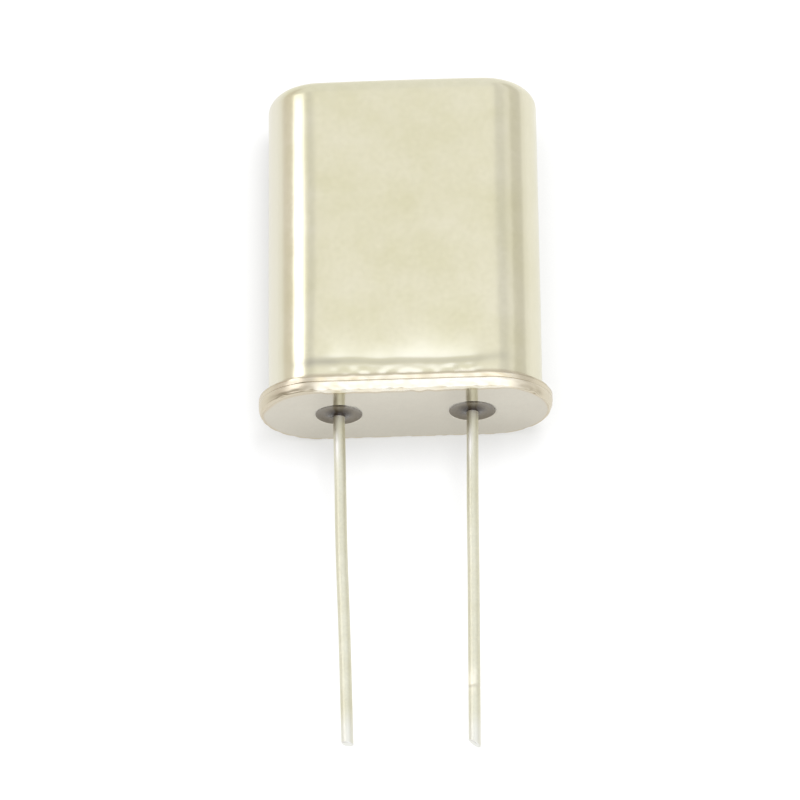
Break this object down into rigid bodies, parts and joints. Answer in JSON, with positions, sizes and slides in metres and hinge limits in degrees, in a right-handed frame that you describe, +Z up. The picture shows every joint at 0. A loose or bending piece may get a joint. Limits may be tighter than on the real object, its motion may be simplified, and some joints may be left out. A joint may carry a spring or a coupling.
{
  "type": "crystal oscillator",
  "caption": "Quartz crystal in a welded oblong metal can, with a flanged base and straight wire leads in glass seals. It sets the frequency of an oscillator circuit.",
  "frame": {"origin": "on the floor under the middle of the unit's box, as it lies on its back", "axes": "+Z up, out of the can's upper broad face; +Y towards the can's closed end, with the leads towards -Y; +X to the right across the leads, seen from above with the leads pointing down"},
  "size_m": [0.0108, 0.0258, 0.0047],
  "materials": {
    "can_plate": "nickel plate, satin",
    "base_plate": "nickel plate, satin",
    "seal_glass": "dark fused glass, glossy",
    "lead_wire": "nickel plate, satin",
    "clip_strip": "rolled spring strip",
    "quartz": "lapped clear quartz",
    "silver_film": "evaporated silver",
    "silver_adhesive": "silver-filled adhesive, matte"
  },
  "bodies": {
    "root": {"can": "can_plate", "base": "base_plate", "glass_seal_left": "seal_glass", "glass_seal_right": "seal_glass", "lead_left": "lead_wire", "lead_right": "lead_wire", "support_clip_left": "clip_strip", "support_clip_right": "clip_strip", "quartz_blank": "quartz", "electrode_front": "silver_film", "electrode_back": "silver_film", "adhesive_dot_left": "silver_adhesive", "adhesive_dot_right": "silver_adhesive"}
  },
  "joints": []
}
